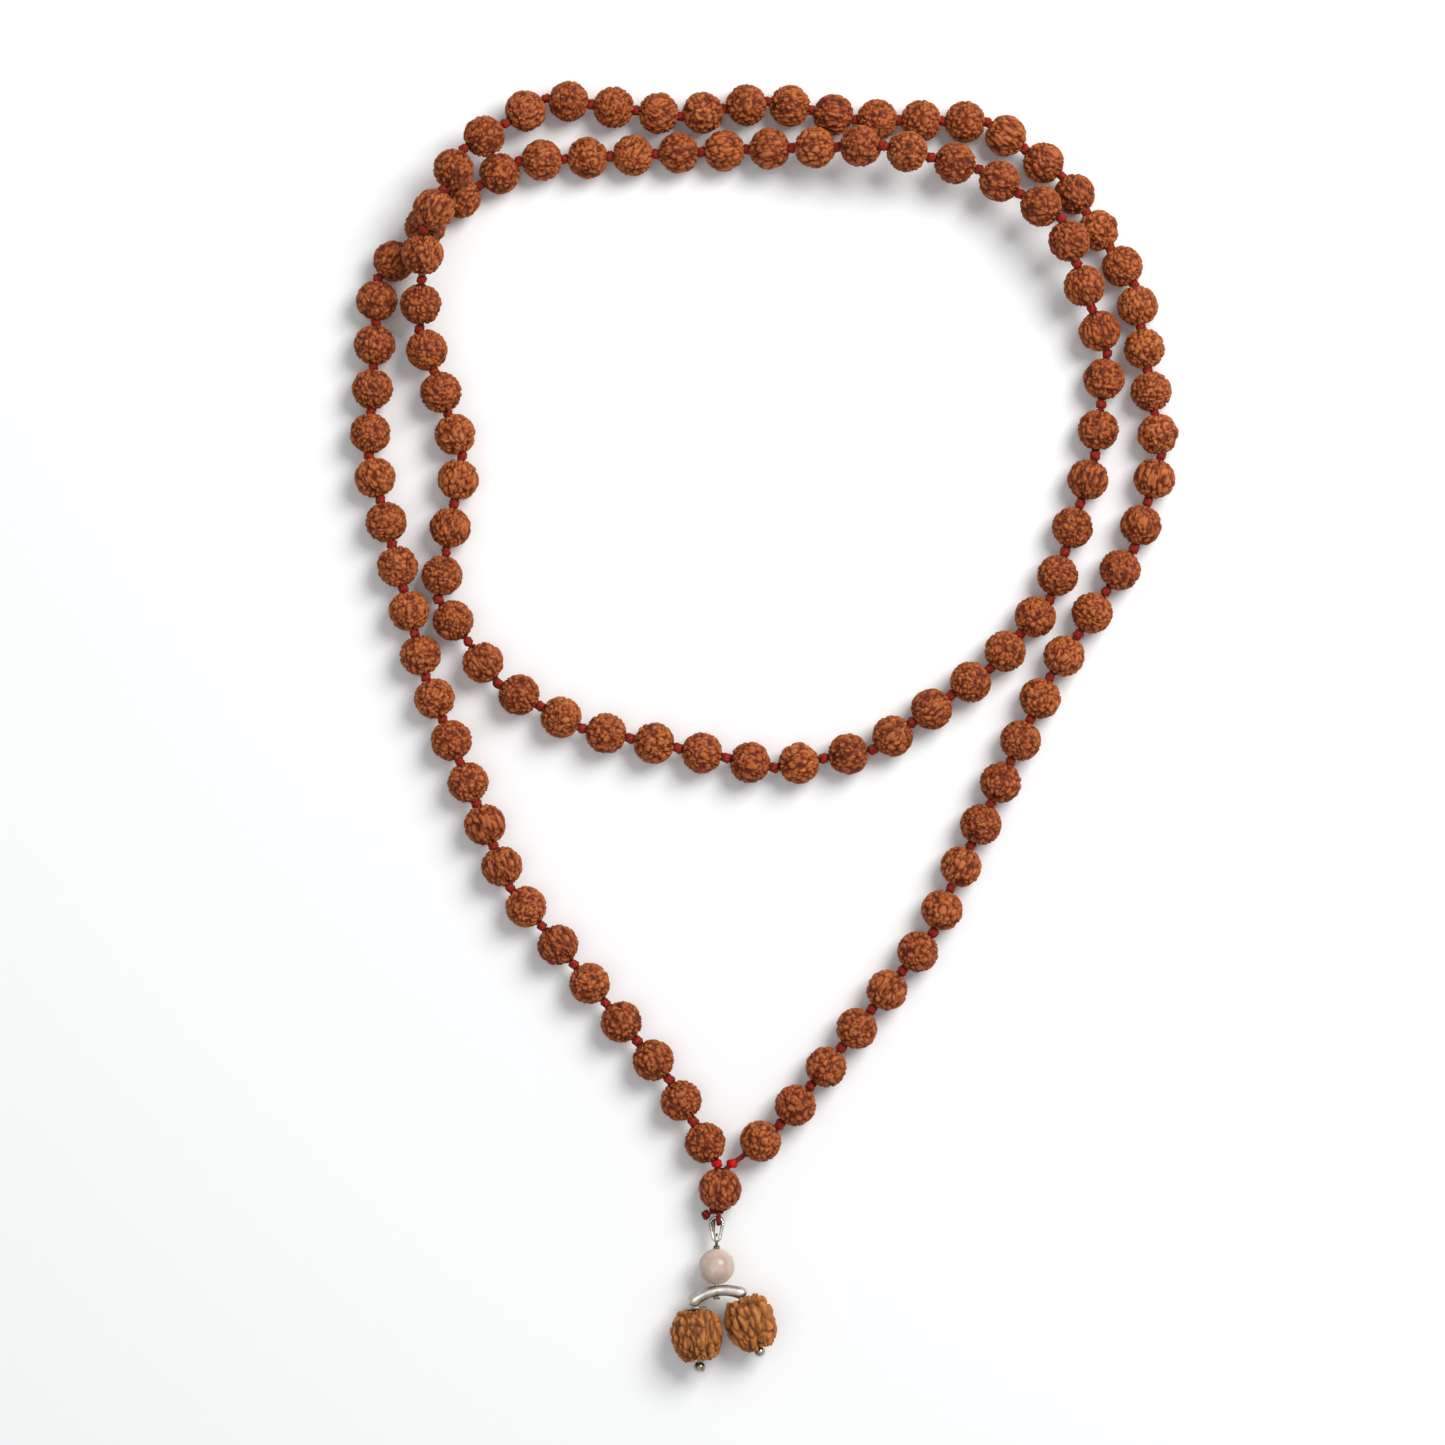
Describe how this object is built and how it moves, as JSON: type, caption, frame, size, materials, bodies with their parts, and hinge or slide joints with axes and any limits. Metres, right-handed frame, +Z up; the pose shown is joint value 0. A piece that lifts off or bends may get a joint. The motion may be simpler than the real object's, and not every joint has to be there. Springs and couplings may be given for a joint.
{
  "type": "mala prayer beads",
  "caption": "Closed loop of ridged seed beads knotted on a red cord, ending in a guru bead and a silver pendant with a quartz bead and larger seeds.",
  "frame": {"origin": "on the table, under the middle of the object's outline", "axes": "+Z up from the table the beads lie on, +Y away from the pendant towards the top of the loop, +X to the right seen from above"},
  "size_m": [0.1382, 0.2151, 0.0136],
  "materials": {
    "rudraksha_seed": "rough carved seed, oiled",
    "pendant_seed": "rough seed with deep lengthwise ridges",
    "red_cord": "twisted nylon, slight sheen",
    "silver_wire": "polished silver",
    "satin_silver": "satin silver",
    "rose_quartz": "polished translucent stone"
  },
  "bodies": {
    "loop_middle": {"cord_loop_middle": "red_cord", "knots_loop_middle": "red_cord"},
    "loop_top": {"cord_loop_top": "red_cord", "knots_loop_top": "red_cord"},
    "tail_upper": {"cord_tail_upper": "red_cord", "knots_tail_upper": "red_cord"},
    "tail_lower": {"cord_tail_lower": "red_cord", "knots_tail_lower": "red_cord", "pendant_thread": "red_cord"},
    "strand_beads_01": {"strand_beads_01": "rudraksha_seed"},
    "strand_beads_02": {"strand_beads_02": "rudraksha_seed"},
    "strand_beads_03": {"strand_beads_03": "rudraksha_seed"},
    "strand_beads_04": {"strand_beads_04": "rudraksha_seed"},
    "strand_beads_05": {"strand_beads_05": "rudraksha_seed"},
    "strand_beads_06": {"strand_beads_06": "rudraksha_seed"},
    "strand_beads_07": {"strand_beads_07": "rudraksha_seed"},
    "strand_beads_08": {"strand_beads_08": "rudraksha_seed"},
    "strand_beads_09": {"strand_beads_09": "rudraksha_seed"},
    "strand_beads_10": {"strand_beads_10": "rudraksha_seed"},
    "strand_beads_11": {"strand_beads_11": "rudraksha_seed"},
    "strand_beads_12": {"strand_beads_12": "rudraksha_seed"},
    "strand_beads_13": {"strand_beads_13": "rudraksha_seed"},
    "strand_beads_14": {"strand_beads_14": "rudraksha_seed"},
    "strand_beads_15": {"strand_beads_15": "rudraksha_seed"},
    "strand_beads_16": {"strand_beads_16": "rudraksha_seed"},
    "strand_beads_17": {"strand_beads_17": "rudraksha_seed"},
    "strand_beads_18": {"strand_beads_18": "rudraksha_seed"},
    "strand_beads_19": {"strand_beads_19": "rudraksha_seed"},
    "strand_beads_20": {"strand_beads_20": "rudraksha_seed"},
    "strand_beads_21": {"strand_beads_21": "rudraksha_seed"},
    "strand_beads_22": {"strand_beads_22": "rudraksha_seed"},
    "strand_beads_23": {"strand_beads_23": "rudraksha_seed"},
    "strand_beads_24": {"strand_beads_24": "rudraksha_seed"},
    "strand_beads_25": {"strand_beads_25": "rudraksha_seed"},
    "strand_beads_26": {"strand_beads_26": "rudraksha_seed"},
    "strand_beads_27": {"strand_beads_27": "rudraksha_seed"},
    "strand_beads_28": {"strand_beads_28": "rudraksha_seed"},
    "strand_beads_29": {"strand_beads_29": "rudraksha_seed"},
    "strand_beads_30": {"strand_beads_30": "rudraksha_seed"},
    "strand_beads_31": {"strand_beads_31": "rudraksha_seed"},
    "strand_beads_32": {"strand_beads_32": "rudraksha_seed"},
    "strand_beads_33": {"strand_beads_33": "rudraksha_seed"},
    "strand_beads_34": {"strand_beads_34": "rudraksha_seed"},
    "strand_beads_35": {"strand_beads_35": "rudraksha_seed"},
    "strand_beads_36": {"strand_beads_36": "rudraksha_seed"},
    "strand_beads_37": {"strand_beads_37": "rudraksha_seed"},
    "strand_beads_38": {"strand_beads_38": "rudraksha_seed"},
    "guru_bead": {"guru_bead": "rudraksha_seed"},
    "bail": {"bail": "silver_wire"},
    "quartz_pin": {"quartz_pin": "silver_wire"},
    "quartz_bead": {"quartz_bead": "rose_quartz"},
    "crescent_hanger": {"crescent_hanger": "satin_silver"},
    "left_dangle": {"left_head_pin": "silver_wire", "left_top_cap": "satin_silver", "left_bottom_cup": "satin_silver"},
    "left_pendant_bead": {"left_pendant_bead": "pendant_seed"},
    "right_dangle": {"right_head_pin": "silver_wire", "right_top_cap": "satin_silver", "right_bottom_cup": "satin_silver"},
    "right_pendant_bead": {"right_pendant_bead": "pendant_seed"}
  },
  "joints": [
    {"name": "loop_top_fold", "type": "hinge", "parent": "loop_middle", "child": "loop_top", "pos_m": [0, 0.045, 0.0035], "axis": [1, 0, 0], "range_deg": [0, 30]},
    {"name": "tail_upper_fold", "type": "hinge", "parent": "loop_middle", "child": "tail_upper", "pos_m": [0, 0.008, 0.0035], "axis": [-1, 0, 0], "range_deg": [0, 40]},
    {"name": "tail_lower_fold", "type": "hinge", "parent": "tail_upper", "child": "tail_lower", "pos_m": [0, -0.027, 0.0035], "axis": [-1, 0, 0], "range_deg": [0, 40]},
    {"name": "pendant_lift", "type": "hinge", "parent": "tail_lower", "child": "bail", "pos_m": [-0.0076, -0.082, 0.0036], "axis": [-1, 0, 0], "range_deg": [0, 75]},
    {"name": "quartz_pin_swing", "type": "hinge", "parent": "bail", "child": "quartz_pin", "pos_m": [-0.0076, -0.08518, 0.00399], "axis": [0, 0.1219, 0.9925], "range_deg": [-15, 15]},
    {"name": "crescent_rock", "type": "hinge", "parent": "quartz_pin", "child": "crescent_hanger", "pos_m": [-0.0076, -0.09406, 0.00508], "axis": [0, 0.1219, 0.9925], "range_deg": [-8, 8]},
    {"name": "left_dangle_swing", "type": "hinge", "parent": "crescent_hanger", "child": "left_dangle", "pos_m": [-0.01135, -0.09581, 0.00408], "axis": [0, -0.1219, -0.9925], "range_deg": [0, 35]},
    {"name": "right_dangle_swing", "type": "hinge", "parent": "crescent_hanger", "child": "right_dangle", "pos_m": [-0.00353, -0.09458, 0.00392], "axis": [0, 0.1219, 0.9925], "range_deg": [0, 35]},
    {"name": "quartz_spin", "type": "hinge", "parent": "quartz_pin", "child": "quartz_bead", "pos_m": [-0.0076, -0.09004, 0.00459], "axis": [0, 0.9925, -0.1219], "continuous": true},
    {"name": "left_pendant_bead_spin", "type": "hinge", "parent": "left_dangle", "child": "left_pendant_bead", "pos_m": [-0.01087, -0.10135, 0.00476], "axis": [0.0872, -0.9888, 0.1214], "continuous": true},
    {"name": "right_pendant_bead_spin", "type": "hinge", "parent": "right_dangle", "child": "right_pendant_bead", "pos_m": [-0.00199, -0.0993, 0.00451], "axis": [0.309, -0.944, 0.1159], "continuous": true},
    {"name": "guru_spin", "type": "hinge", "parent": "tail_lower", "child": "guru_bead", "pos_m": [-0.007, -0.0773, 0.0036], "axis": [0, 1, 0], "continuous": true},
    {"name": "strand_beads_01_spin", "type": "hinge", "parent": "tail_lower", "child": "strand_beads_01", "pos_m": [-0.0075, -0.073, 0.0035], "axis": [-0.4961, 0.8682, 0], "continuous": true},
    {"name": "strand_beads_02_spin", "type": "hinge", "parent": "tail_lower", "child": "strand_beads_02", "pos_m": [-0.0155, -0.059, 0.0035], "axis": [-0.6378, 0.7702, 0], "continuous": true},
    {"name": "strand_beads_03_spin", "type": "hinge", "parent": "tail_upper", "child": "strand_beads_03", "pos_m": [-0.042, -0.027, 0.0035], "axis": [-0.3714, 0.9285, 0], "continuous": true},
    {"name": "strand_beads_04_spin", "type": "hinge", "parent": "loop_middle", "child": "strand_beads_04", "pos_m": [-0.056, 0.008, 0.0035], "axis": [-0.2487, 0.9686, 0], "continuous": true},
    {"name": "strand_beads_05_spin", "type": "hinge", "parent": "loop_top", "child": "strand_beads_05", "pos_m": [-0.0655, 0.045, 0.0035], "axis": [0.0508, 0.9987, 0], "continuous": true},
    {"name": "strand_beads_06_spin", "type": "hinge", "parent": "loop_top", "child": "strand_beads_06", "pos_m": [-0.064, 0.0745, 0.0035], "axis": [0.6743, 0.7385, 0], "continuous": true},
    {"name": "strand_beads_07_spin", "type": "hinge", "parent": "loop_top", "child": "strand_beads_07", "pos_m": [-0.0535, 0.086, 0.0035], "axis": [0.8517, 0.5241, 0], "continuous": true},
    {"name": "strand_beads_08_spin", "type": "hinge", "parent": "loop_top", "child": "strand_beads_08", "pos_m": [-0.0405, 0.094, 0.0035], "axis": [0.9986, 0.0526, 0], "continuous": true},
    {"name": "strand_beads_09_spin", "type": "hinge", "parent": "loop_top", "child": "strand_beads_09", "pos_m": [-0.0025, 0.096, 0.0035], "axis": [0.9662, 0, 0.2577], "continuous": true},
    {"name": "strand_beads_10_spin", "type": "hinge", "parent": "loop_top", "child": "strand_beads_10", "pos_m": [0.02, 0.096, 0.0095], "axis": [0.949, -0.2076, -0.2373], "continuous": true},
    {"name": "strand_beads_11_spin", "type": "hinge", "parent": "loop_top", "child": "strand_beads_11", "pos_m": [0.036, 0.0925, 0.0055], "axis": [0.8208, -0.5168, 0.2432], "continuous": true},
    {"name": "strand_beads_12_spin", "type": "hinge", "parent": "loop_top", "child": "strand_beads_12", "pos_m": [0.0495, 0.084, 0.0095], "axis": [0.331, -0.9104, -0.2483], "continuous": true},
    {"name": "strand_beads_13_spin", "type": "hinge", "parent": "loop_top", "child": "strand_beads_13", "pos_m": [0.0575, 0.062, 0.0035], "axis": [-0.1168, -0.9932, 0], "continuous": true},
    {"name": "strand_beads_14_spin", "type": "hinge", "parent": "loop_middle", "child": "strand_beads_14", "pos_m": [0.0555, 0.045, 0.0035], "axis": [-0.2983, -0.9545, 0], "continuous": true},
    {"name": "strand_beads_15_spin", "type": "hinge", "parent": "loop_middle", "child": "strand_beads_15", "pos_m": [0.048, 0.021, 0.0035], "axis": [-0.6562, -0.7546, 0], "continuous": true},
    {"name": "strand_beads_16_spin", "type": "hinge", "parent": "loop_middle", "child": "strand_beads_16", "pos_m": [0.038, 0.0095, 0.0035], "axis": [-0.8222, -0.5692, 0], "continuous": true},
    {"name": "strand_beads_17_spin", "type": "hinge", "parent": "loop_middle", "child": "strand_beads_17", "pos_m": [0.0185, -0.004, 0.0035], "axis": [-0.9839, -0.1789, 0], "continuous": true},
    {"name": "strand_beads_18_spin", "type": "hinge", "parent": "loop_middle", "child": "strand_beads_18", "pos_m": [0.002, -0.007, 0.0035], "axis": [-0.98, 0.1991, 0], "continuous": true},
    {"name": "strand_beads_19_spin", "type": "hinge", "parent": "loop_middle", "child": "strand_beads_19", "pos_m": [-0.03, -0.0005, 0.0035], "axis": [-0.8815, 0.4722, 0], "continuous": true},
    {"name": "strand_beads_20_spin", "type": "hinge", "parent": "loop_middle", "child": "strand_beads_20", "pos_m": [-0.044, 0.007, 0.0035], "axis": [-0.5812, 0.8137, 0], "continuous": true},
    {"name": "strand_beads_21_spin", "type": "hinge", "parent": "loop_middle", "child": "strand_beads_21", "pos_m": [-0.054, 0.021, 0.0035], "axis": [0.1644, 0.9864, 0], "continuous": true},
    {"name": "strand_beads_22_spin", "type": "hinge", "parent": "loop_top", "child": "strand_beads_22", "pos_m": [-0.05, 0.045, 0.0035], "axis": [-0.3159, 0.9477, 0.0451], "continuous": true},
    {"name": "strand_beads_23_spin", "type": "hinge", "parent": "loop_top", "child": "strand_beads_23", "pos_m": [-0.057, 0.066, 0.0045], "axis": [0.0584, 0.9347, 0.3505], "continuous": true},
    {"name": "strand_beads_24_spin", "type": "hinge", "parent": "loop_top", "child": "strand_beads_24", "pos_m": [-0.056, 0.082, 0.0105], "axis": [0.4317, 0.8965, -0.0996], "continuous": true},
    {"name": "strand_beads_25_spin", "type": "hinge", "parent": "loop_top", "child": "strand_beads_25", "pos_m": [-0.0495, 0.0955, 0.009], "axis": [0.788, 0.5253, -0.321], "continuous": true},
    {"name": "strand_beads_26_spin", "type": "hinge", "parent": "loop_top", "child": "strand_beads_26", "pos_m": [-0.036, 0.1045, 0.0035], "axis": [0.9912, -0.1322, 0], "continuous": true},
    {"name": "strand_beads_27_spin", "type": "hinge", "parent": "loop_top", "child": "strand_beads_27", "pos_m": [-0.0135, 0.1015, 0.0035], "axis": [0.9855, 0.1699, 0], "continuous": true},
    {"name": "strand_beads_28_spin", "type": "hinge", "parent": "loop_top", "child": "strand_beads_28", "pos_m": [0.001, 0.104, 0.0035], "axis": [0.9793, -0.2026, 0], "continuous": true},
    {"name": "strand_beads_29_spin", "type": "hinge", "parent": "loop_top", "child": "strand_beads_29", "pos_m": [0.0155, 0.101, 0.0035], "axis": [0.9997, -0.0227, 0], "continuous": true},
    {"name": "strand_beads_30_spin", "type": "hinge", "parent": "loop_top", "child": "strand_beads_30", "pos_m": [0.0375, 0.1005, 0.0035], "axis": [0.8115, -0.5843, 0], "continuous": true},
    {"name": "strand_beads_31_spin", "type": "hinge", "parent": "loop_top", "child": "strand_beads_31", "pos_m": [0.05, 0.0915, 0.0035], "axis": [0.5547, -0.8321, 0], "continuous": true},
    {"name": "strand_beads_32_spin", "type": "hinge", "parent": "loop_top", "child": "strand_beads_32", "pos_m": [0.062, 0.0735, 0.0035], "axis": [0.156, -0.9878, 0], "continuous": true},
    {"name": "strand_beads_33_spin", "type": "hinge", "parent": "loop_middle", "child": "strand_beads_33", "pos_m": [0.0665, 0.045, 0.0035], "axis": [-0.2788, -0.9603, 0], "continuous": true},
    {"name": "strand_beads_34_spin", "type": "hinge", "parent": "loop_middle", "child": "strand_beads_34", "pos_m": [0.062, 0.0295, 0.0035], "axis": [-0.5457, -0.838, 0], "continuous": true},
    {"name": "strand_beads_35_spin", "type": "hinge", "parent": "tail_upper", "child": "strand_beads_35", "pos_m": [0.048, 0.008, 0.0035], "axis": [-0.4264, -0.9045, 0], "continuous": true},
    {"name": "strand_beads_36_spin", "type": "hinge", "parent": "tail_lower", "child": "strand_beads_36", "pos_m": [0.0315, -0.027, 0.0035], "axis": [-0.3714, -0.9285, 0], "continuous": true},
    {"name": "strand_beads_37_spin", "type": "hinge", "parent": "tail_lower", "child": "strand_beads_37", "pos_m": [0.0285, -0.0345, 0.0035], "axis": [-0.6232, -0.7821, 0], "continuous": true},
    {"name": "strand_beads_38_spin", "type": "hinge", "parent": "tail_lower", "child": "strand_beads_38", "pos_m": [0.003, -0.0665, 0.0035], "axis": [-0.7634, -0.6459, 0], "continuous": true}
  ]
}
